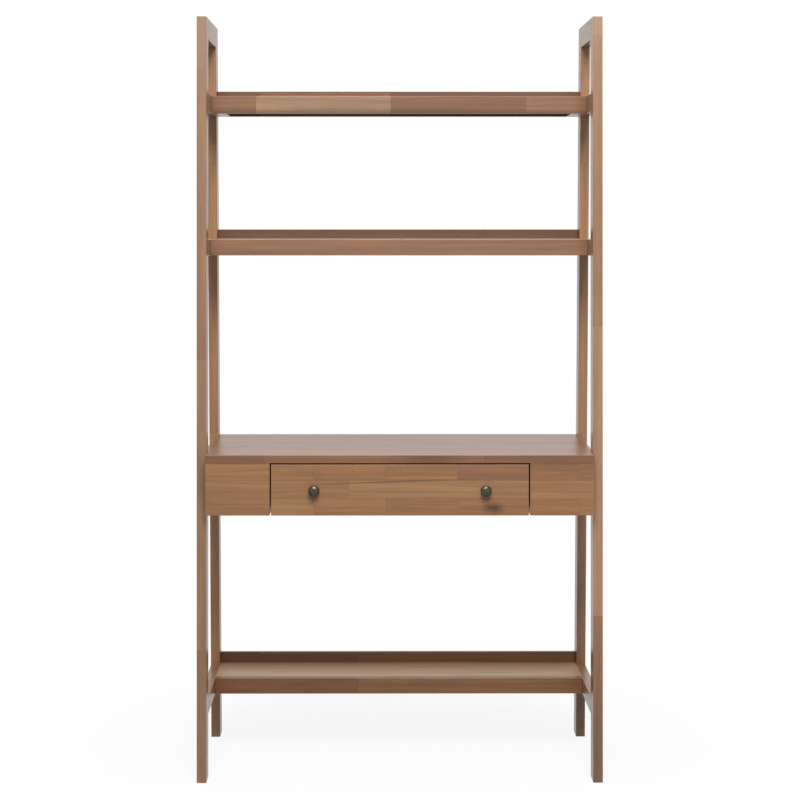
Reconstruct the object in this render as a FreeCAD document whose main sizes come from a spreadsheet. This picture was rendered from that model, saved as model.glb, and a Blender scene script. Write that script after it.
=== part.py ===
import FreeCAD, Part
import os
import Sketcher

# Wall desk: two side frames with raked front posts carry three shelves and a desk with one drawer.
# +Z is up, the front faces -Y, and the origin is on the floor below the middle of the outline.

# Driving sizes in millimetres.
SIZES = {
    # outline
    "width": 965,
    "depth": 457,
    "top_depth": 325,
    "height": 1818,
    "edge_ease": 1,
    # posts and their feet
    "post_width": 23,
    "post_depth": 55,
    "glide_diameter": 18,
    "glide_height": 1,
    # side rails and the dowels in their ends
    "top_rail_height": 51,
    "dowel_diameter": 8,
    "dowel_length": 40,
    "dowel_spacing": 18,
    "dowel_end_room": 1,
    "hole_clearance": 0.1,
    # shelves: drop of the surface from the post tops or the shelf above, or its level above the floor,
    # reach from the wall to the front edge, height of the back lip, and height of the front edge
    "upper_drop": 181,
    "upper_reach": 198,
    "upper_lip": 21,
    "upper_edge": 42,
    "middle_drop": 350,
    "middle_reach": 247,
    "middle_lip": 22,
    "lower_level": 190,
    "lower_reach": 200,
    "lower_lip": 27,
    "shelf_edge": 39,
    "panel_thickness": 18,
    "front_rail_thickness": 22,
    "back_rail_thickness": 12,
    "back_inset": 16,
    "cleat_width": 33,
    # screws that hold the shelf cleats and the desk end boards to the side rails
    "screw_diameter": 5,
    "screw_head_diameter": 10,
    "screw_head_height": 3,
    "screw_bite": 14,
    "screw_setback": 35,
    "desk_screw_spacing": 70,
    # holes for fixing the upper shelf to the wall
    "wall_hole_diameter": 5,
    "wall_hole_inset": 159.5,
    # desk, whose front stands proud of the posts and leans with them
    "desk_level": 781,
    "desk_proud": 30,
    "desk_top_thickness": 19,
    "apron_height": 123,
    "apron_width": 152,
    "apron_thickness": 18,
    "back_apron_thickness": 18,
    "end_board_thickness": 18,
    "partition_thickness": 15,
    # drawer
    "drawer_gap": 3,
    "drawer_front_thickness": 18,
    "drawer_side_thickness": 12,
    "drawer_side_height": 90,
    "drawer_side_lift": 10,
    "drawer_side_room": 6.5,
    "drawer_back_room": 10,
    "drawer_back_thickness": 12,
    "bottom_thickness": 5,
    "bottom_lift": 8,
    "bottom_tongue": 6,
    "groove_clearance": 0.2,
    # runners, which stand in grooves of the drawer sides
    "runner_width": 12,
    "runner_height": 16,
    "runner_rise": 50,
    "runner_setback": 30,
    "runner_clearance": 0.3,
    "runner_tip_room": 0.6,
    "runner_screw_diameter": 3.5,
    "runner_screw_head_diameter": 7,
    "runner_screw_head_height": 3,
    "runner_screw_bite": 10,
    "runner_screw_setback": 30,
    # knobs
    "knob_diameter": 27,
    "knob_head_height": 14,
    "knob_length": 20.5,
    "knob_neck_diameter": 10,
    "knob_base_diameter": 16,
    "knob_base_height": 2.5,
    "knob_inset": 101.5,
    "knob_rise": 58,
    "knob_screw_diameter": 4,
    "knob_screw_head_diameter": 8,
    "knob_screw_head_height": 2.5,
    "knob_screw_bite": 9,
}

# Places that several pieces share, as expressions on the sheet's values.
OUTER = "(dim.width / 2)"
INNER = "(dim.width / 2 - dim.post_width)"
BACK = "(dim.depth / 2)"
POST_MIDDLE = "(dim.width / 2 - dim.post_width / 2)"
REAR_POST_FRONT = "(dim.depth / 2 - dim.post_depth)"
BACK_RAIL_BACK = "(dim.depth / 2 - dim.back_inset)"
DESK_UNDER = "(dim.desk_level - dim.desk_top_thickness)"
APRON_BOTTOM = f"({DESK_UNDER} - dim.apron_height)"
BACK_APRON_FRONT = f"({BACK_RAIL_BACK} - dim.back_apron_thickness)"
OPENING = f"({INNER} - dim.apron_width)"
DESK_FRONT = "(-dim.desk_proud)"
APRON_BACK = "(dim.apron_thickness - dim.desk_proud)"
DRAWER_FRONT_BACK = "(dim.drawer_front_thickness - dim.desk_proud)"
RAKE = "atan((dim.depth - dim.top_depth) / dim.height)"
DRAWER_SIDE_OUTER = f"({OPENING} - dim.drawer_side_room)"
DRAWER_SIDE_INNER = f"({DRAWER_SIDE_OUTER} - dim.drawer_side_thickness)"
DRAWER_SIDE_BOTTOM = f"({APRON_BOTTOM} + dim.drawer_side_lift)"
DRAWER_SIDE_TOP = f"({DRAWER_SIDE_BOTTOM} + dim.drawer_side_height)"
DRAWER_REAR = f"({BACK_APRON_FRONT} - dim.drawer_back_room)"
DRAWER_FLOOR = f"({DRAWER_SIDE_BOTTOM} + dim.bottom_lift)"
RUNNER_TIP = f"({OPENING} - dim.runner_width)"
RUNNER_LEVEL = f"({DRAWER_SIDE_BOTTOM} + dim.runner_rise)"
KNOB_LEVEL = f"({APRON_BOTTOM} + dim.knob_rise)"
KNOB_MIDDLE = f"({OPENING} - dim.drawer_gap - dim.knob_inset)"
WALL_HOLE_MIDDLE = f"({INNER} - dim.wall_hole_inset)"
SHELF_LEVEL = {
    "upper": "(dim.height - dim.upper_drop)",
    "middle": "(dim.height - dim.upper_drop - dim.middle_drop)",
    "lower": "dim.lower_level",
}

SHELF_BOTTOM = {
    "upper": f"({SHELF_LEVEL['upper']} - dim.upper_edge)",
    "middle": f"({SHELF_LEVEL['middle']} - dim.shelf_edge)",
    "lower": f"({SHELF_LEVEL['lower']} - dim.shelf_edge)",
}

SIDES = ("left", "right")
SHELVES = ("upper", "middle", "lower")
RAILS = {
    "top_rail": ("(dim.height - dim.top_rail_height)", "dim.height"),
    "upper_shelf_rail": (SHELF_BOTTOM["upper"], SHELF_LEVEL["upper"]),
    "middle_shelf_rail": (SHELF_BOTTOM["middle"], SHELF_LEVEL["middle"]),
    "desk_rail": (APRON_BOTTOM, DESK_UNDER),
    "lower_rail": (SHELF_BOTTOM["lower"], SHELF_LEVEL["lower"]),
}

ALONG = {
    "X": FreeCAD.Rotation(FreeCAD.Vector(0, 1, 0), 90),
    "Y": FreeCAD.Rotation(FreeCAD.Vector(1, 0, 0), -90),
    "Z": FreeCAD.Rotation(),
}

doc = FreeCAD.newDocument("wall_desk")
dim = doc.addObject("Spreadsheet::Sheet", "dim")
for row, (alias, size) in enumerate(SIZES.items(), start=1):
    dim.set(f"A{row}", str(size))
    dim.setAlias(f"A{row}", alias)
doc.recompute()

nodes = {}


def keep(name, piece):
    """Make a finished piece one of the desk's sub-parts."""
    piece.Label = name
    nodes[name] = piece
    return piece


def value(expression):
    return float(dim.evalExpression(expression))


def front_face(z, inwards="0"):
    """Y of the plane of the raked post fronts at a height, or of a plane that lies further in or out."""
    return f"(-dim.depth / 2 + (dim.depth - dim.top_depth) * {z} / dim.height + {inwards})"


def on_side(side, distance):
    """X of a point that lies a distance from the middle, on one side."""
    return distance if side == "right" else f"(-{distance})"


def x_low(side, near, far):
    """Lower X of a piece that lies between two distances from the middle, on one side."""
    return near if side == "right" else f"(-{far})"


def rectangle(front, back, bottom, top):
    return [(front, bottom), (back, bottom), (back, top), (front, top)]


def raked_strip(bottom, top, inwards, thickness):
    """Profile of a board that leans with the raked post fronts."""
    back = f"({inwards} + {thickness})"
    return [
        (front_face(bottom, inwards), bottom),
        (front_face(bottom, back), bottom),
        (front_face(top, back), top),
        (front_face(top, inwards), top),
    ]


def raked_end(bottom, top, inwards, back):
    """Profile of a board whose front end follows the rake and whose back end is upright."""
    return [
        (front_face(bottom, inwards), bottom),
        (back, bottom),
        (back, top),
        (front_face(top, inwards), top),
    ]


def place(piece, x, y, z):
    for letter, expression in zip("xyz", (x, y, z)):
        piece.setExpression(f"Placement.Base.{letter}", expression)


def board(name, x_start, x_length, profile, ease="dim.edge_ease"):
    """Board with a side profile in Y and Z, padded along X, with every edge eased."""
    body = doc.addObject("PartDesign::Body", name)
    plane = next(item for item in body.Origin.OriginFeatures if item.Role == "YZ_Plane")
    sketch = body.newObject("Sketcher::SketchObject", name + "_profile")
    sketch.AttachmentSupport = [(plane, "")]
    sketch.MapMode = "FlatFace"
    corners = [FreeCAD.Vector(value(y), value(z), 0) for y, z in profile]
    following = corners[1:] + corners[:1]
    for start, end in zip(corners, following):
        sketch.addGeometry(Part.LineSegment(start, end))
    for index in range(len(corners)):
        after = (index + 1) % len(corners)
        sketch.addConstraint(Sketcher.Constraint("Coincident", index, 2, after, 1))
    for index, corner in enumerate(profile):
        for kind, expression in zip(("DistanceX", "DistanceY"), corner):
            number = sketch.addConstraint(Sketcher.Constraint(kind, index, 1, value(expression)))
            sketch.setExpression(f"Constraints[{number}]", expression)
    pad = body.newObject("PartDesign::Pad", name + "_pad")
    pad.Profile = sketch
    pad.setExpression("Length", x_length)
    easing = body.newObject("PartDesign::Fillet", name + "_easing")
    easing.Base = (pad, [""])
    easing.UseAllEdges = True
    easing.setExpression("Radius", ease)
    body.setExpression("Placement.Base.x", x_start)
    return body


def side_board(name, side, near, far, profile):
    return board(name, x_low(side, near, far), f"({far} - {near})", profile)


def rod(name, along, radius, length, x, y, z):
    """Round bar or hole cutter that starts at a point and runs along one axis."""
    piece = doc.addObject("Part::Cylinder", name)
    piece.Placement = FreeCAD.Placement(FreeCAD.Vector(), ALONG[along])
    piece.setExpression("Radius", radius)
    piece.setExpression("Height", length)
    place(piece, x, y, z)
    return piece


def block(name, x_start, x_length, front, back, bottom, top):
    """Cutter for a straight groove."""
    piece = doc.addObject("Part::Box", name)
    piece.setExpression("Length", x_length)
    piece.setExpression("Width", f"({back} - {front})")
    piece.setExpression("Height", f"({top} - {bottom})")
    place(piece, x_start, front, bottom)
    return piece


def fuse(name, pieces):
    piece = doc.addObject("Part::MultiFuse", name)
    piece.Shapes = pieces
    return piece


def group(name, pieces):
    piece = doc.addObject("Part::Compound", name)
    piece.Links = pieces
    return piece


def cut(name, blank, cutters):
    """Finished sub-part: a blank with its holes and grooves cut."""
    piece = doc.addObject("Part::Cut", name)
    piece.Base = blank
    piece.Tool = group(name + "_cutters", cutters)
    return keep(name, piece)


def seat_on_front(piece, x, z):
    """Stand a piece made along +Z on the drawer's raked front face."""
    piece.Placement = FreeCAD.Placement(FreeCAD.Vector(), FreeCAD.Rotation(FreeCAD.Vector(1, 0, 0), 90))
    place(piece, x, front_face(z, DESK_FRONT), z)
    piece.setExpression("Placement.Rotation.Angle", f"90 deg - {RAKE}")
    return piece


def wood_screw(name, side, seat, tip, radius, head_radius, head_near, y, z):
    """Screw along X, driven outwards from its head, with the cutter for its hole."""
    head_start = x_low(side, head_near, seat)
    head = rod(name + "_head", "X", head_radius, f"({seat} - {head_near})", head_start, y, z)
    shank_start = x_low(side, seat, tip)
    shank_length = f"({tip} - {seat})"
    shank = rod(name + "_shank", "X", radius, shank_length, shank_start, y, z)
    wide = f"({radius} + dim.hole_clearance)"
    hole = rod(name + "_hole", "X", wide, shank_length, shank_start, y, z)
    return fuse(name, [head, shank]), hole


def make_dowel(name, side, joint_y, z):
    """Dowel across the joint of a rail and a post, with the cutter for its two holes."""
    x = on_side(side, POST_MIDDLE)
    start = f"({joint_y} - dim.dowel_length / 2)"
    dowel = rod(name, "Y", "dim.dowel_diameter / 2", "dim.dowel_length", x, start, z)
    hole_start = f"({start} - dim.dowel_end_room)"
    hole_length = "dim.dowel_length + 2 * dim.dowel_end_room"
    hole_radius = "dim.dowel_diameter / 2 + dim.hole_clearance"
    hole = rod(name + "_hole", "Y", hole_radius, hole_length, x, hole_start, z)
    return dowel, hole


def make_side_frame(side, rail_screw_holes):
    """Two posts and the rails between them, doweled together."""
    dowels = []
    front_holes = []
    rear_holes = []
    for rail, (bottom, top) in RAILS.items():
        holes = list(rail_screw_holes[rail])
        for row in (-1, 1):
            z = f"(({bottom} + {top}) / 2 + {row} * dim.dowel_spacing / 2)"
            stem = f"{side}_{rail}_dowel_{'low' if row < 0 else 'high'}"
            front_dowel, front_hole = make_dowel(stem + "_front", side, front_face(z, "dim.post_depth"), z)
            rear_dowel, rear_hole = make_dowel(stem + "_rear", side, REAR_POST_FRONT, z)
            dowels += [front_dowel, rear_dowel]
            front_holes.append(front_hole)
            rear_holes.append(rear_hole)
            holes += [front_hole, rear_hole]
        profile = raked_end(bottom, top, "dim.post_depth", REAR_POST_FRONT)
        blank = side_board(f"{side}_{rail}_blank", side, INNER, OUTER, profile)
        cut(f"{side}_{rail}", blank, holes)
    front_profile = raked_strip("dim.glide_height", "dim.height", "0", "dim.post_depth")
    front_blank = side_board(f"{side}_front_post_blank", side, INNER, OUTER, front_profile)
    cut(f"{side}_front_post", front_blank, front_holes)
    rear_profile = rectangle(REAR_POST_FRONT, BACK, "dim.glide_height", "dim.height")
    rear_blank = side_board(f"{side}_rear_post_blank", side, INNER, OUTER, rear_profile)
    cut(f"{side}_rear_post", rear_blank, rear_holes)
    keep(f"{side}_frame_dowels", group(f"{side}_frame_dowels", dowels))


def make_foot_glides():
    glides = []
    for side in SIDES:
        x = on_side(side, POST_MIDDLE)
        middles = {
            "front": front_face("dim.glide_height", "dim.post_depth / 2"),
            "rear": f"({REAR_POST_FRONT} + dim.post_depth / 2)",
        }
        for end, y in middles.items():
            name = f"{side}_{end}_glide"
            glides.append(rod(name, "Z", "dim.glide_diameter / 2", "dim.glide_height", x, y, "0"))
    keep("foot_glides", group("foot_glides", glides))


def make_shelf(shelf, rail_screw_holes):
    """Panel between a front rail and a lipped back rail, on cleats screwed to the side rails."""
    level = SHELF_LEVEL[shelf]
    bottom = SHELF_BOTTOM[shelf]
    panel_under = f"({level} - dim.panel_thickness)"
    front = f"(dim.depth / 2 - dim.{shelf}_reach)"
    panel_front = f"({front} + dim.front_rail_thickness)"
    panel_back = f"({BACK_RAIL_BACK} - dim.back_rail_thickness)"
    full_width = f"(2 * {INNER})"
    left_end = f"(-{INNER})"

    panel_profile = rectangle(panel_front, panel_back, panel_under, level)
    keep(f"{shelf}_shelf_panel", board(f"{shelf}_shelf_panel", left_end, full_width, panel_profile))
    front_profile = rectangle(front, panel_front, bottom, level)
    keep(f"{shelf}_shelf_front_rail", board(f"{shelf}_shelf_front_rail", left_end, full_width, front_profile))
    back_profile = rectangle(panel_back, BACK_RAIL_BACK, bottom, f"({level} + dim.{shelf}_lip)")
    back_name = f"{shelf}_shelf_back_rail"
    if shelf == "upper":
        wall_holes = []
        for side in SIDES:
            x = on_side(side, WALL_HOLE_MIDDLE)
            middle = f"(({bottom} + {panel_under}) / 2)"
            radius = "dim.wall_hole_diameter / 2"
            length = "dim.back_rail_thickness"
            wall_holes.append(rod(f"{side}_wall_hole", "Y", radius, length, x, panel_back, middle))
        cut(back_name, board(back_name + "_blank", left_end, full_width, back_profile), wall_holes)
    else:
        keep(back_name, board(back_name, left_end, full_width, back_profile))

    screws = []
    cleat_near = f"({INNER} - dim.cleat_width)"
    places = {
        "front": f"({panel_front} + dim.screw_setback)",
        "rear": f"({REAR_POST_FRONT} - dim.screw_setback)",
    }
    for side in SIDES:
        holes = []
        for end, y in places.items():
            screw, hole = wood_screw(
                f"{side}_{shelf}_{end}_screw",
                side,
                cleat_near,
                f"({INNER} + dim.screw_bite)",
                "dim.screw_diameter / 2",
                "dim.screw_head_diameter / 2",
                f"({cleat_near} - dim.screw_head_height)",
                y,
                f"(({bottom} + {panel_under}) / 2)",
            )
            screws.append(screw)
            holes.append(hole)
        name = f"{shelf}_shelf_{side}_cleat"
        cleat_profile = rectangle(panel_front, panel_back, bottom, panel_under)
        cut(name, side_board(name + "_blank", side, cleat_near, INNER, cleat_profile), holes)
        rail = "lower_rail" if shelf == "lower" else f"{shelf}_shelf_rail"
        rail_screw_holes[side][rail] += holes
    return screws


def make_desk(rail_screw_holes):
    """Thin top on front aprons, end boards, drawer partitions and a back apron."""
    full_width = f"(2 * {INNER})"
    left_end = f"(-{INNER})"
    top_profile = raked_end(DESK_UNDER, "dim.desk_level", DESK_FRONT, BACK)
    keep("desk_top", board("desk_top", left_end, full_width, top_profile))
    back_profile = rectangle(BACK_APRON_FRONT, BACK_RAIL_BACK, APRON_BOTTOM, DESK_UNDER)
    keep("back_apron", board("back_apron", left_end, full_width, back_profile))

    middle = f"(({APRON_BOTTOM} + {DESK_UNDER}) / 2)"
    end_near = f"({INNER} - dim.end_board_thickness)"
    lengthwise = raked_end(APRON_BOTTOM, DESK_UNDER, APRON_BACK, BACK_APRON_FRONT)
    places = {
        "front": front_face(middle, "dim.post_depth + dim.screw_setback"),
        "rear": f"({REAR_POST_FRONT} - dim.screw_setback)",
    }
    screws = []
    for side in SIDES:
        apron_profile = raked_strip(APRON_BOTTOM, DESK_UNDER, DESK_FRONT, "dim.apron_thickness")
        name = f"{side}_front_apron"
        keep(name, side_board(name, side, OPENING, INNER, apron_profile))
        holes = []
        for end, y in places.items():
            for row in (-1, 1):
                screw, hole = wood_screw(
                    f"{side}_desk_{end}_{'low' if row < 0 else 'high'}_screw",
                    side,
                    end_near,
                    f"({INNER} + dim.screw_bite)",
                    "dim.screw_diameter / 2",
                    "dim.screw_head_diameter / 2",
                    f"({end_near} - dim.screw_head_height)",
                    y,
                    f"({middle} + {row} * dim.desk_screw_spacing / 2)",
                )
                screws.append(screw)
                holes.append(hole)
        name = f"{side}_desk_end_board"
        cut(name, side_board(name + "_blank", side, end_near, INNER, lengthwise), holes)
        rail_screw_holes[side]["desk_rail"] += holes
    keep("desk_screws", group("desk_screws", screws))


def make_runners():
    """Partitions beside the drawer and the wooden runners screwed to them."""
    groove_front = front_face(RUNNER_LEVEL, f"({DRAWER_FRONT_BACK} + dim.runner_setback)")
    front = f"({groove_front} + dim.runner_tip_room)"
    bottom = f"({RUNNER_LEVEL} - dim.runner_height / 2)"
    top = f"({RUNNER_LEVEL} + dim.runner_height / 2)"
    places = {
        "front": f"({front} + dim.runner_screw_setback)",
        "middle": f"(({front} + {BACK_APRON_FRONT}) / 2)",
        "rear": f"({BACK_APRON_FRONT} - dim.runner_screw_setback)",
    }
    partition_far = f"({OPENING} + dim.partition_thickness)"
    partition_profile = raked_end(APRON_BOTTOM, DESK_UNDER, APRON_BACK, BACK_APRON_FRONT)
    head_hole_radius = "dim.runner_screw_head_diameter / 2 + dim.hole_clearance"
    seat = f"({RUNNER_TIP} + dim.runner_screw_head_height)"
    screws = []
    for side in SIDES:
        holes = []
        head_holes = []
        for end, y in places.items():
            name = f"{side}_runner_{end}_screw"
            screw, hole = wood_screw(
                name,
                side,
                seat,
                f"({OPENING} + dim.runner_screw_bite)",
                "dim.runner_screw_diameter / 2",
                "dim.runner_screw_head_diameter / 2",
                RUNNER_TIP,
                y,
                RUNNER_LEVEL,
            )
            screws.append(screw)
            holes.append(hole)
            start = x_low(side, RUNNER_TIP, seat)
            length = "dim.runner_screw_head_height"
            head_holes.append(rod(name + "_sink", "X", head_hole_radius, length, start, y, RUNNER_LEVEL))
        runner = f"{side}_drawer_runner"
        runner_profile = rectangle(front, BACK_APRON_FRONT, bottom, top)
        blank = side_board(runner + "_blank", side, RUNNER_TIP, OPENING, runner_profile)
        cut(runner, blank, holes + head_holes)
        partition = f"{side}_drawer_partition"
        blank = side_board(partition + "_blank", side, OPENING, partition_far, partition_profile)
        cut(partition, blank, holes)
    keep("runner_screws", group("runner_screws", screws))


def make_knob(side):
    """Mushroom knob on a small base, made along +Z, with its screw and the screw's hole."""
    screw_radius = "dim.knob_screw_diameter / 2"
    hole_radius = f"{screw_radius} + dim.hole_clearance"
    head_middle = "(dim.knob_length - dim.knob_head_height / 2)"
    base = rod(f"{side}_knob_base", "Z", "dim.knob_base_diameter / 2", "dim.knob_base_height", "0", "0", "0")
    neck = rod(f"{side}_knob_neck", "Z", "dim.knob_neck_diameter / 2", head_middle, "0", "0", "0")
    head = doc.addObject("Part::Ellipsoid", f"{side}_knob_head")
    head.setExpression("Radius1", "dim.knob_head_height / 2")
    head.setExpression("Radius2", "dim.knob_diameter / 2")
    head.setExpression("Radius3", "dim.knob_diameter / 2")
    place(head, "0", "0", head_middle)
    blank = fuse(f"{side}_knob_blank", [base, neck, head])
    hole = rod(f"{side}_knob_hole", "Z", hole_radius, "dim.knob_screw_bite", "0", "0", "0")
    knob = cut(f"{side}_knob", blank, [hole])

    through = f"(dim.drawer_front_thickness * cos({RAKE}))"
    head_start = f"(-{through} - dim.knob_screw_head_height)"
    head_radius = "dim.knob_screw_head_diameter / 2"
    head_height = "dim.knob_screw_head_height"
    screw_head = rod(f"{side}_knob_screw_head", "Z", head_radius, head_height, "0", "0", head_start)
    shank_length = f"({through} + dim.knob_screw_bite)"
    shank = rod(f"{side}_knob_screw_shank", "Z", screw_radius, shank_length, "0", "0", f"(-{through})")
    screw = fuse(f"{side}_knob_screw", [screw_head, shank])
    bore_start = "-2 * dim.drawer_front_thickness"
    bore_length = "3 * dim.drawer_front_thickness"
    bore = group(
        f"{side}_knob_bore",
        [rod(f"{side}_knob_bore_cutter", "Z", hole_radius, bore_length, "0", "0", bore_start)],
    )
    for piece in (knob, screw, bore):
        seat_on_front(piece, on_side(side, KNOB_MIDDLE), KNOB_LEVEL)
    return screw, bore


def make_drawer():
    """Raked front, grooved sides, back and a thin bottom held in grooves."""
    screws = []
    bores = []
    for side in SIDES:
        screw, bore = make_knob(side)
        screws.append(screw)
        bores.append(bore)
    keep("knob_screws", group("knob_screws", screws))

    floor_top = f"({DRAWER_FLOOR} + dim.bottom_thickness)"
    floor_half = f"({DRAWER_SIDE_INNER} + dim.bottom_tongue)"
    floor_front = front_face(DRAWER_FLOOR, f"({DRAWER_FRONT_BACK} - dim.bottom_tongue)")
    floor_profile = rectangle(floor_front, DRAWER_REAR, DRAWER_FLOOR, floor_top)
    floor_ease = "dim.bottom_thickness / 10"
    keep(
        "drawer_bottom",
        board("drawer_bottom", f"(-{floor_half})", f"(2 * {floor_half})", floor_profile, floor_ease),
    )
    floor_groove = block(
        "floor_groove",
        f"(-{floor_half} - dim.groove_clearance)",
        f"(2 * {floor_half} + 2 * dim.groove_clearance)",
        f"({floor_front} - dim.groove_clearance)",
        f"({DRAWER_REAR} + dim.groove_clearance)",
        f"({DRAWER_FLOOR} - dim.groove_clearance)",
        f"({floor_top} + dim.groove_clearance)",
    )

    front_half = f"({OPENING} - dim.drawer_gap)"
    front_top = f"({DESK_UNDER} - dim.drawer_gap)"
    front_profile = raked_strip(APRON_BOTTOM, front_top, DESK_FRONT, "dim.drawer_front_thickness")
    front_blank = board("drawer_front_blank", f"(-{front_half})", f"(2 * {front_half})", front_profile)
    cut("drawer_front", front_blank, bores + [floor_groove])

    back_profile = rectangle(
        f"({DRAWER_REAR} - dim.drawer_back_thickness)", DRAWER_REAR, floor_top, DRAWER_SIDE_TOP
    )
    back_width = f"(2 * {DRAWER_SIDE_INNER})"
    keep("drawer_back", board("drawer_back", f"(-{DRAWER_SIDE_INNER})", back_width, back_profile))

    groove_front = front_face(RUNNER_LEVEL, f"({DRAWER_FRONT_BACK} + dim.runner_setback)")
    groove_tip = f"({RUNNER_TIP} - dim.runner_tip_room)"
    side_profile = raked_end(DRAWER_SIDE_BOTTOM, DRAWER_SIDE_TOP, DRAWER_FRONT_BACK, DRAWER_REAR)
    for side in SIDES:
        runner_groove = block(
            f"{side}_runner_groove",
            x_low(side, groove_tip, OPENING),
            f"({OPENING} - {groove_tip})",
            groove_front,
            f"({DRAWER_REAR} + dim.drawer_back_room)",
            f"({RUNNER_LEVEL} - dim.runner_height / 2 - dim.runner_clearance)",
            f"({RUNNER_LEVEL} + dim.runner_height / 2 + dim.runner_clearance)",
        )
        name = f"drawer_{side}_side"
        blank = side_board(name + "_blank", side, DRAWER_SIDE_INNER, DRAWER_SIDE_OUTER, side_profile)
        cut(name, blank, [runner_groove, floor_groove])


def check_document():
    doc.recompute()
    for item in doc.Objects:
        if "Invalid" in item.State or "Error" in item.State:
            raise RuntimeError(f"{item.Label} did not build: {item.State}")
    for name, piece in nodes.items():
        if piece.Shape.isNull() or not piece.Shape.isValid() or not piece.Shape.Solids:
            raise RuntimeError(f"{name} has no valid solid")


rail_holes = {side: {rail: [] for rail in RAILS} for side in SIDES}
shelf_screws = []
for shelf_name in SHELVES:
    shelf_screws += make_shelf(shelf_name, rail_holes)
keep("shelf_screws", group("shelf_screws", shelf_screws))
make_desk(rail_holes)
for side_name in SIDES:
    make_side_frame(side_name, rail_holes[side_name])
make_foot_glides()
make_runners()
make_drawer()

check_document()
os.makedirs("parts", exist_ok=True)
for node_name, node_piece in nodes.items():
    node_piece.Shape.exportStep(f"parts/{node_name}.step")
print(f"{len(nodes)} sub-parts written")
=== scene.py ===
# %% [markdown]
# # A wall desk in lacquered acacia
# Every board of this desk is already a solid of its real size, so the script adds no furniture of its
# own. It loads those solids, gives each board the timber it is cut from, turns two better knobs, and
# sets up a pale studio with the camera where the picture was taken.

# %% Load the desk
import bmesh
import bpy
import math
from collections import namedtuple
from mathutils import Matrix, Vector


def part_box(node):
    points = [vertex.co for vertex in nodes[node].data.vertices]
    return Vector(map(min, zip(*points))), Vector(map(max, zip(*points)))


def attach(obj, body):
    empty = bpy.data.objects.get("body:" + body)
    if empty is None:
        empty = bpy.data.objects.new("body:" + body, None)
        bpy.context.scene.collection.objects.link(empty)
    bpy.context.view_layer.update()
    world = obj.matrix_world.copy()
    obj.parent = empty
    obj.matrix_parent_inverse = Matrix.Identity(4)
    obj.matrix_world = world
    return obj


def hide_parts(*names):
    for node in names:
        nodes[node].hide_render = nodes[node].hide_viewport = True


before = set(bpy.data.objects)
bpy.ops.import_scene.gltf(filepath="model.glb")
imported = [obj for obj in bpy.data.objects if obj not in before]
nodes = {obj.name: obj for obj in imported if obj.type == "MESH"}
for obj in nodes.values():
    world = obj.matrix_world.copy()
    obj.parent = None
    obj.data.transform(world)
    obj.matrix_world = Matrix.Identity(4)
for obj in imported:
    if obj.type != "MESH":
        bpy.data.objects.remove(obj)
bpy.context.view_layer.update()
MM = 0.001
print("boards and fittings:", len(nodes))

# %% [markdown]
# ## Three small helpers
# Colours are written as sRGB hex, the way a paint card or a picture gives them, but shaders work in
# linear light, so one function converts them. A second one adds a node with its settings and links in a
# single call, which keeps a long node tree readable from top to bottom. The third opens an empty
# material for a finish.


# %% Helpers for colour and nodes
def linear(hex_colour):
    """sRGB hex to a linear RGBA tuple."""
    channels = [int(hex_colour[start:start + 2], 16) / 255 for start in (1, 3, 5)]
    lit = [c / 12.92 if c <= 0.04045 else ((c + 0.055) / 1.055) ** 2.4 for c in channels]
    return (*lit, 1.0)


def add(tree, kind, inputs=None, **settings):
    """Add a node, set its properties, then fill or link its inputs."""
    node = tree.nodes.new(kind)
    for key, setting in settings.items():
        setattr(node, key, setting)
    for socket, source in (inputs or {}).items():
        if isinstance(source, bpy.types.NodeSocket):
            tree.links.new(source, node.inputs[socket])
        else:
            node.inputs[socket].default_value = source
    return node


def new_material(name):
    """Empty node material with its Principled shader."""
    material = bpy.data.materials.new(name)
    material.use_nodes = True
    tree = material.node_tree
    return material, tree, tree.nodes["Principled BSDF"]


print(f"mid grey in linear light: {linear('#808080')[0]:.3f}")

# %% [markdown]
# ## Where the boards lie
# The patterns below are laid on Object coordinates, which for every board are metres in the desk's own
# frame. So a corner of a board is enough to say where its staves start, and no board needs an unwrapped
# map. The front posts lean back towards the wall. A leaning post's box is deeper than the post, and what
# it has more than an upright rear post, over its height, gives the lean.

# %% Measure the boards
apron_low, apron_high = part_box("left_front_apron")
drawer_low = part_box("drawer_front")[0]
desk_low, desk_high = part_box("desk_top")
panel_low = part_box("lower_shelf_panel")[0]
edge_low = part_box("upper_shelf_front_rail")[0]
post_low, post_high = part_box("left_front_post")
rear_low, rear_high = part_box("left_rear_post")
right_rear_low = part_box("right_rear_post")[0]
post_depth = rear_high[1] - rear_low[1]
rake = math.atan2(post_high[1] - post_low[1] - post_depth, post_high[2] - post_low[2])
print(f"lean of the front posts: {math.degrees(rake):.2f} degrees")

# %% [markdown]
# ## Grain
# The figure of acacia lies along the board: broad growth bands, fine fibre and short dark pores, all
# with a slow sway that keeps them from looking ruled. Pictures of timber could show it, but they repeat
# and have seams. Noise that is drawn out along the grain has neither, and its scale is simply the length
# and width of what it stands for. The pores are drawn coarser than real ones, which would be too fine to
# show.

# %% Draw out the grain
Grain = namedtuple("Grain", "length width detail roughness")
FIBRE = Grain(230 * MM, 7 * MM, 5.0, 0.62)
BAND = Grain(1600 * MM, 46 * MM, 1.5, 0.4)
PORE = Grain(26 * MM, 1.6 * MM, 2.0, 0.5)
SWAY = Grain(420 * MM, 90 * MM, 1.0, 0.4)
GRAIN_WARP = 0.3


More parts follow.
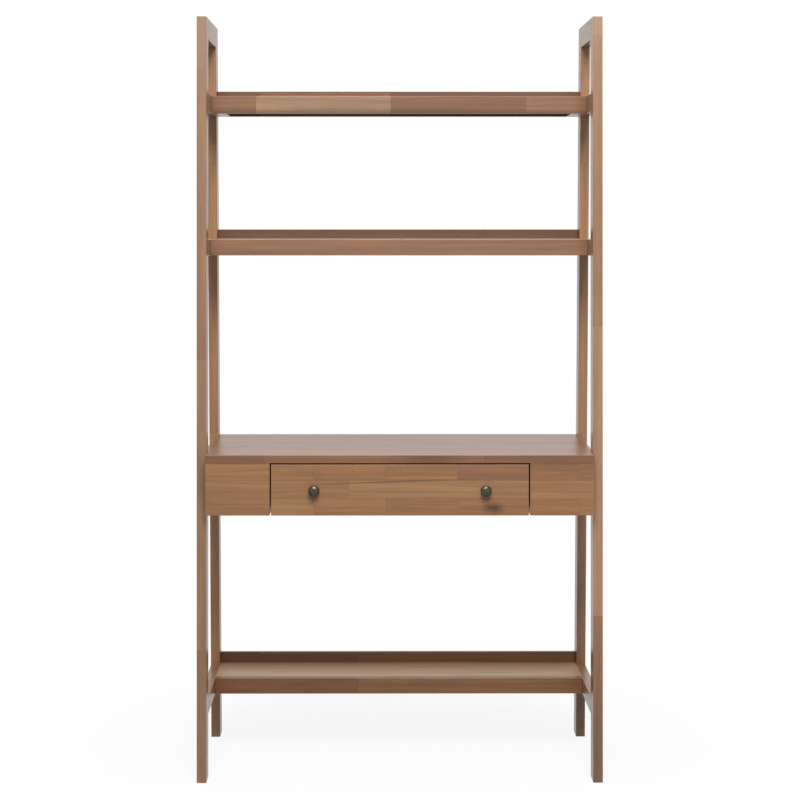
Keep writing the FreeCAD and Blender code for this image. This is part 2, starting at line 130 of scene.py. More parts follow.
def drawn_out(tree, place, grain):
    """Noise with a length along the grain and a width across it."""
    scale = (1 / grain.length, 1 / grain.width, 1 / grain.width)
    stretched = add(tree, "ShaderNodeMapping", {"Vector": place, "Scale": scale})
    return add(
        tree,
        "ShaderNodeTexNoise",
        {
            "Vector": stretched.outputs[0],
            "Scale": 1.0,
            "Detail": grain.detail,
            "Roughness": grain.roughness,
            "Distortion": GRAIN_WARP,
        },
    ).outputs[0]


print(f"fibre: {FIBRE.length / FIBRE.width:.0f} times as long as wide")

# %% [markdown]
# ## Knots, streaks and painted shade
# A live knot or a mineral streak is a dark patch with a ragged rim. It has no relief under the lacquer,
# so nothing is modelled for it: the wood is darkened by its distance from the middle of the patch. The
# same ragged patch also paints shade on a few boards. A Mapping node of the Texture kind turns the
# patch's own place, tilt and size into a plain ball to measure in, and noise added to the distance makes
# the rim ragged.

# %% Dark marks
Mark = namedtuple("Mark", "centre size depth tilt", defaults=(0.0,))
RAGGED_SCALE = 2.2
RAGGED_DETAIL = 3.0
RAGGED_REACH = 0.9
MARK_RIM = (0.55, 1.5)


def dark_mark(tree, object_place, light, mark):
    """Darken a ragged oval round a point, as a live knot or a mineral streak shows through lacquer, or
    as painted shade.
    """
    local = add(
        tree,
        "ShaderNodeMapping",
        {
            "Vector": object_place,
            "Location": mark.centre,
            "Rotation": (0, mark.tilt, 0),
            "Scale": mark.size,
        },
        vector_type="TEXTURE",
    ).outputs[0]
    reach = add(tree, "ShaderNodeVectorMath", {0: local}, operation="LENGTH").outputs["Value"]
    noise = {"Vector": local, "Scale": RAGGED_SCALE, "Detail": RAGGED_DETAIL}
    ragged = add(tree, "ShaderNodeTexNoise", noise).outputs[0]
    rim = {0: ragged, 1: RAGGED_REACH, 2: reach}
    distance = add(tree, "ShaderNodeMath", rim, operation="MULTIPLY_ADD").outputs[0]
    shade = add(
        tree,
        "ShaderNodeMapRange",
        {
            "Value": distance,
            "From Min": MARK_RIM[0],
            "From Max": MARK_RIM[1],
            "To Min": 1 - mark.depth,
            "To Max": 1.0,
        },
    ).outputs[0]
    return add(tree, "ShaderNodeMath", {0: light, 1: shade}, operation="MULTIPLY").outputs[0]


print(f"a mark fades out at about {MARK_RIM[1] - RAGGED_REACH / 2:.2f} times its size")

# %% [markdown]
# ## Staves
# The boards are glued up from short acacia staves, so tone jumps from stave to stave and a fine dark
# glue line shows between them. A brick texture gives the staves: its length runs with the grain and its
# rows run across. Between black and white it gives each stave one shade of grey, which later picks the
# stave's tone. The pattern has no end, like a timber yard, so each board picks the stave and row that
# lie at its first joint. The rows start just outside a board's first face, because a face that lay in a
# glue line would be dark all over.

# %% Lay the staves
GLUE_LINE = 0.5 * MM
GLUE_SOFTNESS = 0.6
ROW_START = 3 * GLUE_LINE
# A run names the axis of the grain and that of the rows, and this is the one left over.
THIRD_AXIS = {"XZ": "Y", "XY": "Z", "ZY": "X", "YZ": "X"}
BLACK, GREY, WHITE = [(tone, tone, tone, 1) for tone in (0, 0.5, 1)]


def lay_staves(tree, object_place, run, stave, joint, pick, stagger, lean):
    """Lay staves along run's first axis, in rows along its second: gives place, shade and glue lines."""
    upright = add(tree, "ShaderNodeMapping", {"Vector": object_place, "Rotation": (lean, 0, 0)})
    axes = add(tree, "ShaderNodeSeparateXYZ", {"Vector": upright.outputs[0]}).outputs
    turned = {"X": axes[run[0]], "Y": axes[run[1]], "Z": axes[THIRD_AXIS[run]]}
    board = add(tree, "ShaderNodeCombineXYZ", turned).outputs[0]
    along = pick[0] * stave[0] - joint[0]
    across = pick[1] * stave[1] - joint[1] + ROW_START
    laid = add(tree, "ShaderNodeMapping", {"Vector": board, "Location": (along, across, 0)}).outputs[0]
    staves = add(
        tree,
        "ShaderNodeTexBrick",
        {
            "Vector": laid,
            "Color1": BLACK,
            "Color2": WHITE,
            "Mortar": GREY,
            "Scale": 1.0,
            "Mortar Size": GLUE_LINE,
            "Mortar Smooth": GLUE_SOFTNESS,
            "Brick Width": stave[0],
            "Row Height": stave[1],
        },
        offset=stagger[0],
        squash=stagger[1],
    ).outputs
    shade = add(tree, "ShaderNodeSeparateColor", {"Color": staves["Color"]}).outputs["Red"]
    return laid, shade, staves["Fac"]


print(f"glue lines: {2 * GLUE_LINE / MM:.0f} mm, half in each stave")

# %% [markdown]
# ## Figure
# In real timber the figure breaks at every joint, because no two staves come from the same spot of the
# tree. So each stave shifts the grain by its own shade before any noise is read. The growth bands are a
# sine of one slow noise, which gives lines that wander together as year rings do.

# %% Figure of a stave
STAVE_JUMP = (3.1, 1.7, 2.3)
SWAY_REACH = 16 * MM
BAND_PHASE = 26
PORE_RIM = (0.62, 0.74)


def figure(tree, laid, shade):
    """Fibre, growth bands and pores of each stave."""
    shift = {0: STAVE_JUMP, "Scale": shade}
    jump = add(tree, "ShaderNodeVectorMath", shift, operation="SCALE").outputs[0]
    straight = add(tree, "ShaderNodeVectorMath", {0: laid, 1: jump}, operation="ADD").outputs[0]
    aside = {0: drawn_out(tree, straight, SWAY), 1: (0, SWAY_REACH, SWAY_REACH), 2: straight}
    own = add(tree, "ShaderNodeVectorMath", aside, operation="MULTIPLY_ADD").outputs[0]
    fibre = drawn_out(tree, own, FIBRE)
    swell = {0: drawn_out(tree, own, BAND), 1: BAND_PHASE}
    phase = add(tree, "ShaderNodeMath", swell, operation="MULTIPLY").outputs[0]
    bands = add(tree, "ShaderNodeMath", {0: phase}, operation="SINE").outputs[0]
    specks = {"Value": drawn_out(tree, own, PORE), "From Min": PORE_RIM[0], "From Max": PORE_RIM[1]}
    pores = add(tree, "ShaderNodeMapRange", specks).outputs[0]
    return fibre, bands, pores


print(f"growth bands over the noise's whole range: {BAND_PHASE / (2 * math.pi):.1f}")

# %% [markdown]
# ## Acacia under satin lacquer
# Acacia is a brown hardwood whose staves differ a lot in tone, and the lacquer is a clear satin film on
# it. The film needs only an IOR of 1.5 and a medium roughness, and no coat of its own: seen at a low
# angle it mirrors the pale room, which is what greys the desk surface in the picture. What changes from
# place to place is how light the wood is: fibre, bands, pores and glue lines each lighten or darken the
# stave's tone, and they are multiplied together.

# %% Light and dark in the wood
FIBRE_SPREAD = (0.3, 0.7)
FIBRE_LIGHT = (0.8, 1.16)
BAND_LIGHT = (0.92, 1.06)
PORE_DARK = 0.2
GLUE_DARK = 0.3


def wood_light(tree, fibre, bands, pores, glue):
    """How light or dark the figure makes the stave's tone, about 1."""
    fibre_light = add(
        tree,
        "ShaderNodeMapRange",
        {
            "Value": fibre,
            "From Min": FIBRE_SPREAD[0],
            "From Max": FIBRE_SPREAD[1],
            "To Min": FIBRE_LIGHT[0],
            "To Max": FIBRE_LIGHT[1],
        },
    ).outputs[0]
    band_light = add(
        tree,
        "ShaderNodeMapRange",
        {
            "Value": bands,
            "From Min": -1.0,
            "From Max": 1.0,
            "To Min": BAND_LIGHT[0],
            "To Max": BAND_LIGHT[1],
        },
    ).outputs[0]
    light = add(tree, "ShaderNodeMath", {0: fibre_light, 1: band_light}, operation="MULTIPLY").outputs[0]
    for lines, dark in ((pores, PORE_DARK), (glue, GLUE_DARK)):
        darker = {0: lines, 1: -dark, 2: 1.0}
        kept = add(tree, "ShaderNodeMath", darker, operation="MULTIPLY_ADD").outputs[0]
        light = add(tree, "ShaderNodeMath", {0: light, 1: kept}, operation="MULTIPLY").outputs[0]
    return light


print(f"wood light: {FIBRE_LIGHT[0] * BAND_LIGHT[0]:.2f} to {FIBRE_LIGHT[1] * BAND_LIGHT[1]:.2f}")

# %% [markdown]
# ## One recipe for every board
# All the boards share one recipe and differ in the way the grain runs, the staves and the tones, so one
# function makes a timber and each board below only says what is its own. Besides the colour, the fibre
# varies the gloss a little, and fibre and pores raise a very slight relief.

# %% The timber
LACQUER_IOR = 1.5
SATIN = 0.36
GLOSS_PLAY = (0.05, -0.04)
RELIEF_STRENGTH = 0.12
RELIEF_DEPTH = 0.3 * MM
# Every second row is shifted by this share of a stave, and its staves are stretched this many times.
STAGGER = (0.37, 1.0)


def acacia(
    name, run, stave, joint, tones, pick=(0, 1), stagger=STAGGER, lean=0.0, roughness=SATIN, marks=()
):
    """Lacquered acacia: stave is a length and a row's width, joint is where the picked stave starts."""
    material, tree, shader = new_material(name)
    object_place = add(tree, "ShaderNodeTexCoord").outputs["Object"]
    laid, shade, glue = lay_staves(tree, object_place, run, stave, joint, pick, stagger, lean)
    fibre, bands, pores = figure(tree, laid, shade)
    light = wood_light(tree, fibre, bands, pores, glue)
    for mark in marks:
        light = dark_mark(tree, object_place, light, mark)

    ramp = add(tree, "ShaderNodeValToRGB", {"Fac": shade})
    stops = ramp.color_ramp.elements
    while len(stops) < len(tones):
        stops.new(0.5)
    for index, tone in enumerate(tones):
        stops[index].position = index / (len(tones) - 1)
        stops[index].color = linear(tone)
    toned = {0: ramp.outputs["Color"], "Scale": light}
    colour = add(tree, "ShaderNodeVectorMath", toned, operation="SCALE")
    tree.links.new(colour.outputs[0], shader.inputs["Base Color"])

    gloss = add(
        tree,
        "ShaderNodeMapRange",
        {
            "Value": fibre,
            "From Min": FIBRE_SPREAD[0],
            "From Max": FIBRE_SPREAD[1],
            "To Min": roughness + GLOSS_PLAY[0],
            "To Max": roughness + GLOSS_PLAY[1],
        },
    )
    tree.links.new(gloss.outputs[0], shader.inputs["Roughness"])
    relief = add(tree, "ShaderNodeMath", {0: fibre, 1: pores}, operation="SUBTRACT").outputs[0]
    raised = {"Height": relief, "Strength": RELIEF_STRENGTH, "Distance": RELIEF_DEPTH}
    bump = add(tree, "ShaderNodeBump", raised)
    tree.links.new(bump.outputs[0], shader.inputs["Normal"])
    shader.inputs["IOR"].default_value = LACQUER_IOR
    return material


print("satin lacquer: roughness", SATIN, "and IOR", LACQUER_IOR)

# %% [markdown]
# ## Drawer front and aprons
# Grain always runs along a board's length, so in the desk's front it runs from side to side, and the
# staves lie above each other in rows. All the rows start at the aprons' lower edge, so that they go on
# across the drawer. The joints and tones are those of the picture. The drawer has a knot low on its
# right side and a long dark streak between two rows, and each apron has a painted shadow line along its
# upper edge, under the desk top.

# %% Cut the drawer front and the aprons
FRONT_TONES = ("#885E42", "#8F6440", "#956B48", "#9C754F")
FRONT_ROW = 42 * MM

knot = Mark(
    centre=(222 * MM, drawer_low[1], drawer_low[2] + 17 * MM),
    size=(31 * MM, 40 * MM, 16 * MM),
    depth=0.8,
)
streak = Mark(
    centre=(-34 * MM, drawer_low[1], drawer_low[2] + 79 * MM),
    size=(225 * MM, 40 * MM, 3 * MM),
    depth=0.6,
    tilt=-0.036,
)
# Painted shadow: a dark line along each apron's upper edge, under the desk top.
shadow_lines = [
    Mark(centre=(middle, apron_low[1], apron_high[2]), size=(190 * MM, 60 * MM, 3 * MM), depth=0.75)
    for middle in (-397 * MM, 397 * MM)
]
drawer_wood = acacia(
    "acacia_drawer_front",
    run="XZ",
    stave=(340 * MM, FRONT_ROW),
    joint=(-120 * MM, apron_low[2]),
    tones=FRONT_TONES,
    pick=(34, 0),
    stagger=(0.494, 0.5),
    marks=(knot, streak),
)
apron_wood = acacia(
    "acacia_aprons",
    run="XZ",
    stave=(500 * MM, FRONT_ROW),
    joint=(423 * MM, apron_low[2]),
    tones=FRONT_TONES,
    pick=(22, 1),
    marks=shadow_lines,
)
print("front:", drawer_wood.name, apron_wood.name)

# %% [markdown]
# ## Desk top and shelf panels
# These boards lie flat, so their rows run from front to back. The desk's front edge shows the first row
# alone, with a dark stretch right of the middle. Its lacquer is set a little smoother than the fronts'.
# The lower panel takes much paler tones, painted light, because in the picture it looks pale although
# little light reaches it.

# %% Cut the desk top and the shelf panels
TOP_STAVE = (520 * MM, 68 * MM)
TOP_JOINT = 200 * MM
TOP_TONES = ("#7C553C", "#835B42", "#8B6449")
DESK_TONES = ("#764F34", "#7E5639", "#865E40")
# Paler tones: painted light on the lower panel, which the desk shades from the lamps.
PALE_PANEL_TONES = ("#BE997A", "#C29D7F", "#C6A283")
DESK_ROUGHNESS = 0.32

dark_edge = Mark(
    centre=(74 * MM, desk_low[1], desk_high[2] - 10 * MM),
    size=(125 * MM, 10 * MM, 60 * MM),
    depth=0.34,
)
desk_wood = acacia(
    "acacia_desk_top",
    run="XY",
    stave=TOP_STAVE,
    joint=(TOP_JOINT, desk_low[1]),
    tones=DESK_TONES,
    pick=(32, 1),
    roughness=DESK_ROUGHNESS,
    marks=(dark_edge,),
)
top_wood = acacia("acacia_shelf_panels", "XY", TOP_STAVE, (TOP_JOINT, 0), TOP_TONES)
pale_panel_wood = acacia(
    "acacia_lower_panel", "XY", TOP_STAVE, (TOP_JOINT, panel_low[1]), PALE_PANEL_TONES
)
print("flat boards:", desk_wood.name, top_wood.name, pale_panel_wood.name)

# %% [markdown]
# ## Front posts
# Grain runs up the posts. A post is not as deep as one row, so it is a single line of staves, end to
# end. The front posts lean, and their staves are turned by the same angle. Each has its own staves, as
# in the picture. The left one has painted shade beside the desk, and the right one is darker towards its
# foot. The frame's lacquer is smoother than the fronts', because the posts' inner sides mirror the pale
# room strongly in the picture.

# %% Cut the front posts
LONG_STAVE = (690 * MM, 62 * MM)
POST_TONES = ("#8F694C", "#997355", "#A57F62")
FRAME_ROUGHNESS = 0.3

# Painted shade on the left post, where the desk box stands in front of it.
painted_desk_shade = Mark(
    centre=(rear_low[0], apron_low[1], 705 * MM),
    size=(60 * MM, 160 * MM, 95 * MM),
    depth=0.26,
)
front_foot = Mark(
    centre=(right_rear_low[0], post_low[1], 60 * MM),
    size=(90 * MM, 160 * MM, 330 * MM),
    depth=0.3,
)
left_post_wood = acacia(
    "acacia_left_post",
    run="ZY",
    stave=LONG_STAVE,
    joint=(300 * MM, post_low[1]),
    tones=POST_TONES,
    lean=rake,
    roughness=FRAME_ROUGHNESS,
    marks=(painted_desk_shade,),
)
right_post_wood = acacia(
    "acacia_right_post",
    run="ZY",
    stave=LONG_STAVE,
    joint=(380 * MM, post_low[1]),
    tones=POST_TONES,
    pick=(20, 7),
    lean=rake,
    roughness=FRAME_ROUGHNESS,
    marks=(front_foot,),
)
print("front posts:", left_post_wood.name, right_post_wood.name)

# %% [markdown]
# ## Rear posts
# The rear posts stand upright against the wall, further from the lamps, and still look nearly as light
# as the front ones in the picture, so they take paler tones: painted light for the lamps' light they
# miss. The right one has a dark foot too.
# Both share one timber, because a mark lies at a place of the desk and leaves the other post alone.

# %% Cut the rear posts
# Paler tones: painted light on posts that stand further from the lamps.
REAR_POST_TONES = ("#A67C58", "#B28864", "#BE9672")

rear_foot = Mark(
    centre=(right_rear_low[0], rear_low[1], 90 * MM),
    size=(90 * MM, 160 * MM, 420 * MM),
    depth=0.45,
)
rear_post_wood = acacia(
    "acacia_rear_posts",
    run="ZY",
    stave=LONG_STAVE,
    joint=(100 * MM, rear_low[1]),
    tones=REAR_POST_TONES,
    roughness=FRAME_ROUGHNESS,
    marks=(rear_foot,),
)
print("rear posts:", rear_post_wood.name)

# %% [markdown]
# ## Side rails and inner boards
# The rails between the posts, the shelf cleats and the boards inside the desk run from front to back, so
# the grain does too, and the rows lie above each other. The inner boards have the least gloss, because
# the inside of a drawer is seldom polished.

# %% Cut the side rails and the inner boards
INNER_TONES = ("#8A6446", "#9A7453", "#A88462")
INNER_ROUGHNESS = 0.5

side_rail_wood = acacia(
    "acacia_side_rails",
    run="YZ",
    stave=LONG_STAVE,
    joint=(400 * MM, apron_low[2]),
    tones=POST_TONES,
    roughness=FRAME_ROUGHNESS,
)
inner_wood = acacia(
    "acacia_inner_boards",
    run="YZ",
    stave=LONG_STAVE,
    joint=(200 * MM, apron_low[2]),
    tones=INNER_TONES,
    roughness=INNER_ROUGHNESS,
)
print("rails and inner boards:", side_rail_wood.name, inner_wood.name)

# %% [markdown]
# ## Shelf edges and back lips
# Each shelf shows a front edge and, behind it, the raised lip of its back rail. An edge is lower than
# one row, so its staves lie end to end. The upper one has a pale stave left of its middle and is darker
# along its lower side, the middle one hardly varies, and the lower one has a joint left of its middle.
# The lips take the same staves in darker tones.

# %% Cut the shelf edges
SHELF_TONES = ("#775238", "#876146", "#96785C")
LOWER_TONES = ("#774A2A", "#7F5431", "#895E3B")
LIP_TONES = ("#66422B", "#704B32", "#7A543A")

darker_lower_side = Mark(
    centre=(0, edge_low[1], edge_low[2] + 2 * MM),
    size=(900 * MM, 60 * MM, 11 * MM),
    depth=0.5,
)
ShelfEdge = namedtuple("ShelfEdge", "length joint pick tones marks", defaults=((),))
shelf_edges = {
    "upper": ShelfEdge(331 * MM, -351 * MM, (1, 7), SHELF_TONES, (darker_lower_side,)),
    "middle": ShelfEdge(1200 * MM, -600 * MM, (3, 5), SHELF_TONES),
    "lower": ShelfEdge(690 * MM, -792 * MM, (25, 3), LOWER_TONES),
}
edge_timbers = {}
for shelf, cut in shelf_edges.items():
    stave = (cut.length, LONG_STAVE[1])
    joint = (cut.joint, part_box(f"{shelf}_shelf_front_rail")[0][2])
    edge_timbers[f"{shelf}_shelf_front_rail"] = acacia(
        f"acacia_{shelf}_shelf_edge", "XZ", stave, joint, cut.tones, cut.pick, marks=cut.marks
    )
    edge_timbers[f"{shelf}_shelf_back_rail"] = acacia(
        f"acacia_{shelf}_shelf_lip", "XZ", stave, joint, LIP_TONES, cut.pick
    )
print("shelf edges and lips:", len(edge_timbers))

# %% [markdown]
# ## Plywood, beech, zinc, nylon and pewter
# The drawer bottom is thin plywood, the dowels are plain beech, the screws are zinc-plated steel, the
# feet stand on moulded nylon glides and the knobs are aged pewter. Most are small or hidden, yet they
# show when the drawer is open or the desk is seen from below, so each gets its own finish. The two woods
# come first. They need no staves, only a straight grain between a dark and a pale tone.

# %% Plain light woods
PLAIN_DETAIL = 4.0
PLAIN_STRENGTH = 0.15
PLAIN_RELIEF = 0.2 * MM


def fine_wood(name, dark, pale, along, width, length, roughness):
    """Plain light wood with straight grain along one axis."""
    material, tree, shader = new_material(name)
    place = add(tree, "ShaderNodeTexCoord").outputs["Object"]
    scale = [1 / length if axis == along else 1 / width for axis in "XYZ"]
    stretched = add(tree, "ShaderNodeMapping", {"Vector": place, "Scale": scale}).outputs[0]
    noise = {"Vector": stretched, "Scale": 1.0, "Detail": PLAIN_DETAIL}
    grain = add(tree, "ShaderNodeTexNoise", noise).outputs[0]
    ramp = add(tree, "ShaderNodeValToRGB", {"Fac": grain})
    ramp.color_ramp.elements[0].color = linear(dark)
    ramp.color_ramp.elements[1].color = linear(pale)
    tree.links.new(ramp.outputs["Color"], shader.inputs["Base Color"])
    raised = {"Height": grain, "Strength": PLAIN_STRENGTH, "Distance": PLAIN_RELIEF}
    bump = add(tree, "ShaderNodeBump", raised)
    tree.links.new(bump.outputs[0], shader.inputs["Normal"])
    shader.inputs["Roughness"].default_value = roughness
    return material


# Birch plywood: pale veneer with a wide, soft grain from side to side, and hardly any gloss.
plywood = fine_wood(
    "birch_plywood", "#B08A5E", "#CDAA7C", along="X", width=7 * MM, length=240 * MM, roughness=0.55
)
# Beech: pale and even, with a short fine grain along the dowel, and dull because it is bare.
beech = fine_wood(
    "beech_dowel", "#B78E66", "#D2AE84", along="Y", width=2 * MM, length=40 * MM, roughness=0.6
)
print("light woods:", plywood.name, beech.name)

# %% [markdown]
# ## Metal and plastic
# Plated steel, moulded nylon and cast pewter are even at first sight, but none is quite uniform. A fine
# noise at the size of the real grain shifts colour, gloss and relief together, which is enough for
# pieces of this size. The two metals are fully metallic and take their colour from what they mirror.

# %% Metals and plastic
MOTTLE_DETAIL = 4.0
MOTTLE_RANGE = (0.35, 0.7)
MOTTLE_STRENGTH = 0.2


def mottled(name, dark, pale, grain_size, metallic, roughness, relief):
    """Even finish with a faint mottle in colour, gloss and relief."""
    material, tree, shader = new_material(name)
    place = add(tree, "ShaderNodeTexCoord").outputs["Object"]
    fine = {"Vector": place, "Scale": 1 / grain_size, "Detail": MOTTLE_DETAIL}
    noise = add(tree, "ShaderNodeTexNoise", fine).outputs[0]
    ramp = add(tree, "ShaderNodeValToRGB", {"Fac": noise})
    for stop, position, tone in zip(ramp.color_ramp.elements, MOTTLE_RANGE, (dark, pale)):
        stop.position = position
        stop.color = linear(tone)
    tree.links.new(ramp.outputs["Color"], shader.inputs["Base Color"])
    gloss = {"Value": noise, "To Min": roughness[0], "To Max": roughness[1]}
    rough = add(tree, "ShaderNodeMapRange", gloss)
    tree.links.new(rough.outputs[0], shader.inputs["Roughness"])
    raised = {"Height": noise, "Strength": MOTTLE_STRENGTH, "Distance": relief}
    bump = add(tree, "ShaderNodeBump", raised)
    tree.links.new(bump.outputs[0], shader.inputs["Normal"])
    shader.inputs["Metallic"].default_value = metallic
    return material


# Zinc-plated steel: bright grey with a slight cloud from the plating bath.
zinc = mottled(
    "zinc_plated_steel",
    "#8F9092",
    "#B9BABA",
    grain_size=2 * MM,
    metallic=1.0,
    roughness=(0.28, 0.45),
    relief=0.02 * MM,
)
# Moulded nylon: almost black, dull, with the fine grain of the mould.
nylon = mottled(
    "moulded_nylon",
    "#1F1B18",
    "#2A2521",
    grain_size=1 * MM,
    metallic=0.0,
    roughness=(0.45, 0.6),
    relief=0.05 * MM,
)
# Aged pewter: dark grey metal with an uneven polish that breaks its highlights up.
pewter = mottled(
    "aged_pewter",
    "#35322B",
    "#5F5A4E",
    grain_size=3 * MM,
    metallic=1.0,
    roughness=(0.24, 0.42),
    relief=0.05 * MM,
)
print("metals and plastic:", zinc.name, nylon.name, pewter.name)

# %% [markdown]
# ## Every board gets its finish
# Left and right pieces and the pieces of the three shelves share endings in their names, so one list of
# endings covers all of them, and the first ending that fits counts. The solids keep their shape: only
# the material in their slot is changed.

# %% Give every board and fitting its finish
finish_of = {
    "drawer_bottom": plywood,
    "dowels": beech,
    "screws": zinc,
    "foot_glides": nylon,
    "knob": pewter,
    "front_apron": apron_wood,
    "back_apron": apron_wood,
    "drawer_front": drawer_wood,
    "drawer_back": apron_wood,
    "desk_top": desk_wood,
    "lower_shelf_panel": pale_panel_wood,
    "shelf_panel": top_wood,
    "rear_post": rear_post_wood,
    "left_front_post": left_post_wood,
    "right_front_post": right_post_wood,
    "partition": inner_wood,
    "runner": inner_wood,
    "left_side": inner_wood,
    "right_side": inner_wood,
    **edge_timbers,
}
for ending in ("cleat", "end_board", "top_rail", "shelf_rail", "desk_rail", "lower_rail"):
    finish_of[ending] = side_rail_wood

for name, piece in nodes.items():
    finish = next(finish for ending, finish in finish_of.items() if name.endswith(ending))
    piece.data.materials.clear()
    piece.data.materials.append(finish)
print("timbers and finishes:", len(bpy.data.materials))

# %% [markdown]
# ## Turned knobs
# The real knobs are small turned castings: a thin rose against the wood, a waist, and a domed head with
# a soft rim. A cylinder with bevels would look machined, so half the outline is drawn once as a smooth
# curve that a few bends pull into shape. It is as long as the solid knob and stays inside its box, so
# the knob reaches no further than the one the drawer was built with.

# %% Outline of a knob
# The bends are a radius and a height above the drawer front, in millimetres.
KNOB_LENGTH = 20.5
KNOB_FOOT = ((0, 0), (8, 0), (8, 2), (4.4, 2.2), (4.4, 6.5))
KNOB_HEAD = ((13.4, 8), (13.4, 16.5), (7, KNOB_LENGTH), (0, KNOB_LENGTH))
KNOB_BENDS = KNOB_FOOT + KNOB_HEAD
BEND_STEPS = 6


def knob_outline():
    """Half outline of the knob as a smooth curve that the bends pull into shape."""
    curve = bpy.data.curves.new("knob_outline", "CURVE")
    curve.dimensions = "3D"
    spline = curve.splines.new("NURBS")
    spline.points.add(len(KNOB_BENDS) - 1)
    for point, (radius, height) in zip(spline.points, KNOB_BENDS):
        point.co = (radius * MM, 0, height * MM, 1)
    spline.order_u = 3
    spline.use_endpoint_u = True
    spline.resolution_u = BEND_STEPS
    holder = bpy.data.objects.new("knob_outline", curve)
    outline = bpy.data.meshes.new_from_object(holder)
    bpy.data.objects.remove(holder)
    bpy.data.curves.remove(curve)
    return outline


outline = knob_outline()
print("points on the knob's outline:", len(outline.vertices))

# %% [markdown]
# ## On the lathe
# Spinning the half outline round its axis does what a lathe does. The first and last turn are merged,
# the points on the axis are joined into one, and the normals are worked out again, because a spin can
# turn a shape inside out. The drawer front leans, so the knob is tipped by the same angle before it
# takes the place of its solid.

# %% Turn the knobs
TURNS = 48
SAME_POINT = 0.005 * MM


def turned_knob(name):
    """Spin the half outline round local Z, then stand the knob on the leaning drawer front."""
    low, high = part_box(name)
    mesh = bmesh.new()
    mesh.from_mesh(outline)
    bmesh.ops.spin(
        mesh,
        geom=mesh.verts[:] + mesh.edges[:],
        cent=(0, 0, 0),
        axis=(0, 0, 1),
        angle=2 * math.pi,
        steps=TURNS,
        use_merge=True,
    )
    bmesh.ops.remove_doubles(mesh, verts=mesh.verts, dist=SAME_POINT)
    bmesh.ops.recalc_face_normals(mesh, faces=mesh.faces)
    lean = Matrix.Rotation(math.pi / 2 - rake, 4, "X")
    middle = (Vector(low) + Vector(high)) / 2
    turned_middle = lean @ Vector((0, 0, KNOB_LENGTH * MM / 2))
    stand = Matrix.Translation(middle - turned_middle) @ lean
    bmesh.ops.transform(mesh, matrix=stand, verts=mesh.verts)
    data = bpy.data.meshes.new(name + "_turned")
    mesh.to_mesh(data)
    mesh.free()
    data.shade_smooth()
    data.materials.append(pewter)
    piece = bpy.data.objects.new(name + "_turned", data)
    bpy.context.scene.collection.objects.link(piece)
    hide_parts(name)
    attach(piece, "drawer")
    return piece


knobs = [turned_knob(name) for name in ("left_knob", "right_knob")]
print("knob faces:", [len(knob.data.polygons) for knob in knobs])

# %% [markdown]
# ## A pale room
# The picture was taken against pure white. A brighter room would give that white too, but it would also
# wash out the wood. So the room shows white only to the camera, to reflections and through glass, and
# lights the desk at a fifth of that. The colours then render about as they are written.

# %% The room
ROOM_LIGHT = 0.22
BACKDROP_LIGHT = 1.0


def in_view(tree):
    """1 for rays that show the background: from the camera, in a reflection or through glass."""
    rays = add(tree, "ShaderNodeLightPath").outputs
    straight = {0: rays["Is Camera Ray"], 1: rays["Is Glossy Ray"]}
    seen = add(tree, "ShaderNodeMath", straight, operation="MAXIMUM").outputs[0]
    through = {0: seen, 1: rays["Is Transmission Ray"]}
    return add(tree, "ShaderNodeMath", through, operation="MAXIMUM").outputs[0]


scene = bpy.context.scene
scene.view_settings.view_transform = "Standard"
world = bpy.data.worlds.new("pale_room")
scene.world = world
world.use_nodes = True
sky = world.node_tree
sky.nodes.clear()
room = add(sky, "ShaderNodeBackground", {"Color": WHITE, "Strength": ROOM_LIGHT}).outputs[0]
backdrop = add(sky, "ShaderNodeBackground", {"Color": WHITE, "Strength": BACKDROP_LIGHT}).outputs[0]
either = add(sky, "ShaderNodeMixShader", {0: in_view(sky), 1: room, 2: backdrop}).outputs[0]
add(sky, "ShaderNodeOutputWorld", {"Surface": either})
print("light from the room:", ROOM_LIGHT)

# %% [markdown]
# ## A wide floor
# The desk stands on a plain floor. A curved backdrop would hide the horizon, but here the room is white
# already, so one flat square is enough, wide enough that its edge is far behind the desk. It isn't part
# of the desk.

# %% The floor
FLOOR_REACH = 9.0

floor_mesh = bmesh.new()
bmesh.ops.create_grid(floor_mesh, x_segments=1, y_segments=1, size=FLOOR_REACH)
floor_data = bpy.data.meshes.new("studio_floor")
floor_mesh.to_mesh(floor_data)
floor_mesh.free()
floor = bpy.data.objects.new("studio_floor", floor_data)
scene.collection.objects.link(floor)
print(f"floor: {2 * FLOOR_REACH:.0f} m square")

# %% [markdown]
# ## Floor paint that fades to white
# Near the feet the floor is a pale paint that takes a faint shadow. A plain white floor would end in a
# grey horizon, so further from the desk it fades into the white of the backdrop. That is only what the
# camera and reflections see: the light that the floor throws back on the wood comes from an ordinary
# matt grey.

# %% Paint the floor
FLOOR_GREY = "#A8A6A3"
FLOOR_ROUGHNESS = 0.9
FLOOR_WHITE = "#F7F6F4"
SHADOW_REACH = (0.45, 1.1)
SHADOW_WHITE = (0.9, 1.0)

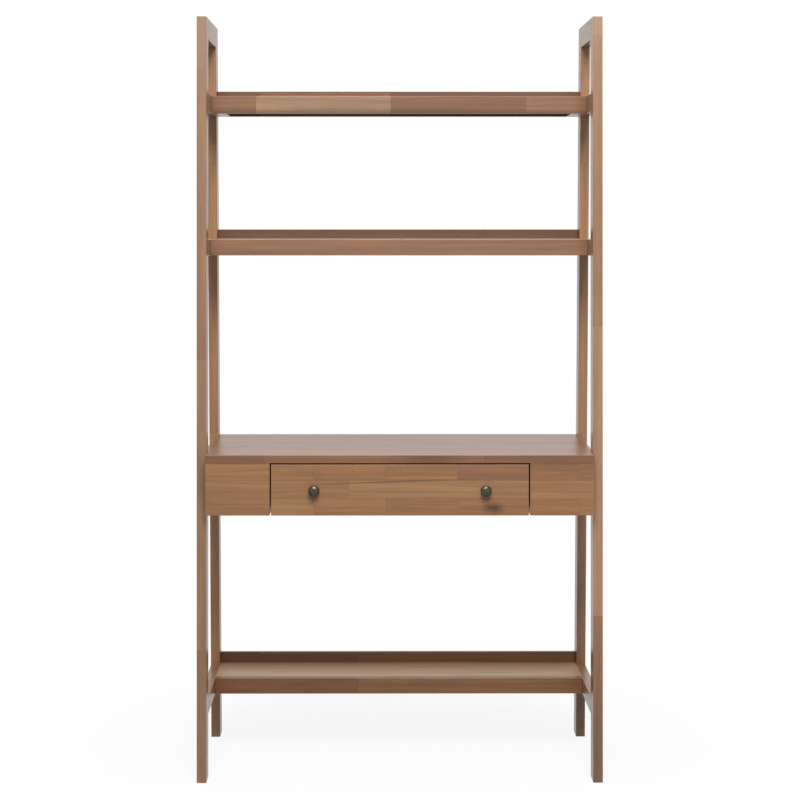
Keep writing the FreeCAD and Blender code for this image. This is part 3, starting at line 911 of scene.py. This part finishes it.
floor_finish, floor_tree, floor_shader = new_material("pale_floor")
floor_shader.inputs["Base Color"].default_value = linear(FLOOR_GREY)
floor_shader.inputs["Roughness"].default_value = FLOOR_ROUGHNESS
floor_place = add(floor_tree, "ShaderNodeTexCoord").outputs["Object"]
away = add(floor_tree, "ShaderNodeVectorMath", {0: floor_place}, operation="LENGTH").outputs["Value"]
fade = add(
    floor_tree,
    "ShaderNodeMapRange",
    {
        "Value": away,
        "From Min": SHADOW_REACH[0],
        "From Max": SHADOW_REACH[1],
        "To Min": SHADOW_WHITE[0],
        "To Max": SHADOW_WHITE[1],
    },
    interpolation_type="SMOOTHSTEP",
).outputs[0]
white_paint = add(floor_tree, "ShaderNodeBsdfDiffuse", {"Color": linear(FLOOR_WHITE)}).outputs[0]
glow = add(floor_tree, "ShaderNodeEmission", {"Color": WHITE, "Strength": BACKDROP_LIGHT}).outputs[0]
shown = add(floor_tree, "ShaderNodeMixShader", {0: fade, 1: white_paint, 2: glow}).outputs[0]
sides = {0: in_view(floor_tree), 1: floor_shader.outputs[0], 2: shown}
paint = add(floor_tree, "ShaderNodeMixShader", sides)
floor_tree.links.new(paint.outputs[0], floor_tree.nodes["Material Output"].inputs["Surface"])
floor_data.materials.append(floor_finish)
print(f"shadow fades out {SHADOW_REACH[1]} m from the middle of the desk")

# %% [markdown]
# ## Soft lamps
# Furniture like this is lit by large softboxes above and in front, which leave no hard shadow. A sun
# lamp would draw sharp edges, so two wide area lamps are used, both aimed at the middle of the desk.

# %% Hang the lamps
LAMP_TARGET = (0, 0, 1.0)
Lamp = namedtuple("Lamp", "place size watts")
lamps = {
    "front_softbox": Lamp((0.1, -3.0, 3.9), 2.0, 165),
    "top_softbox": Lamp((0, -1.0, 4.6), 2.6, 60),
}
for name, lamp in lamps.items():
    data = bpy.data.lights.new(name, "AREA")
    data.energy = lamp.watts
    data.size = lamp.size
    softbox = bpy.data.objects.new(name, data)
    softbox.location = lamp.place
    aim = Vector(LAMP_TARGET) - Vector(lamp.place)
    softbox.rotation_euler = aim.to_track_quat("-Z", "Y").to_euler()
    scene.collection.objects.link(softbox)
print("lamps in watts:", {name: lamp.watts for name, lamp in lamps.items()})

# %% [markdown]
# ## The camera
# The picture was taken from almost straight in front, at chest height and nearly five metres away,
# looking slightly down with a long lens. The frame was cropped off-centre, which a small lens shift
# repeats.

# %% Camera
PICTURE = 800
SENSOR = 36
FOCAL_PIXELS = 1922.9
LENS_CENTRE = (385.0, 345.5)
CAMERA_PLACE = (-50.2 * MM, -4710.7 * MM, 1359.0 * MM)
LOOK_DOWN = math.radians(4.037)
LOOK_RIGHT = math.radians(0.19)

camera_data = bpy.data.cameras.new("picture_camera")
camera_data.sensor_width = SENSOR
camera_data.lens = SENSOR * FOCAL_PIXELS / PICTURE
camera_data.shift_x = (PICTURE / 2 - LENS_CENTRE[0]) / PICTURE
camera_data.shift_y = (LENS_CENTRE[1] - PICTURE / 2) / PICTURE
camera = bpy.data.objects.new("picture_camera", camera_data)
camera.location = CAMERA_PLACE
camera.rotation_euler = (math.pi / 2 - LOOK_DOWN, 0, -LOOK_RIGHT)
scene.collection.objects.link(camera)
scene.camera = camera
print(f"lens: {camera_data.lens:.1f} mm")
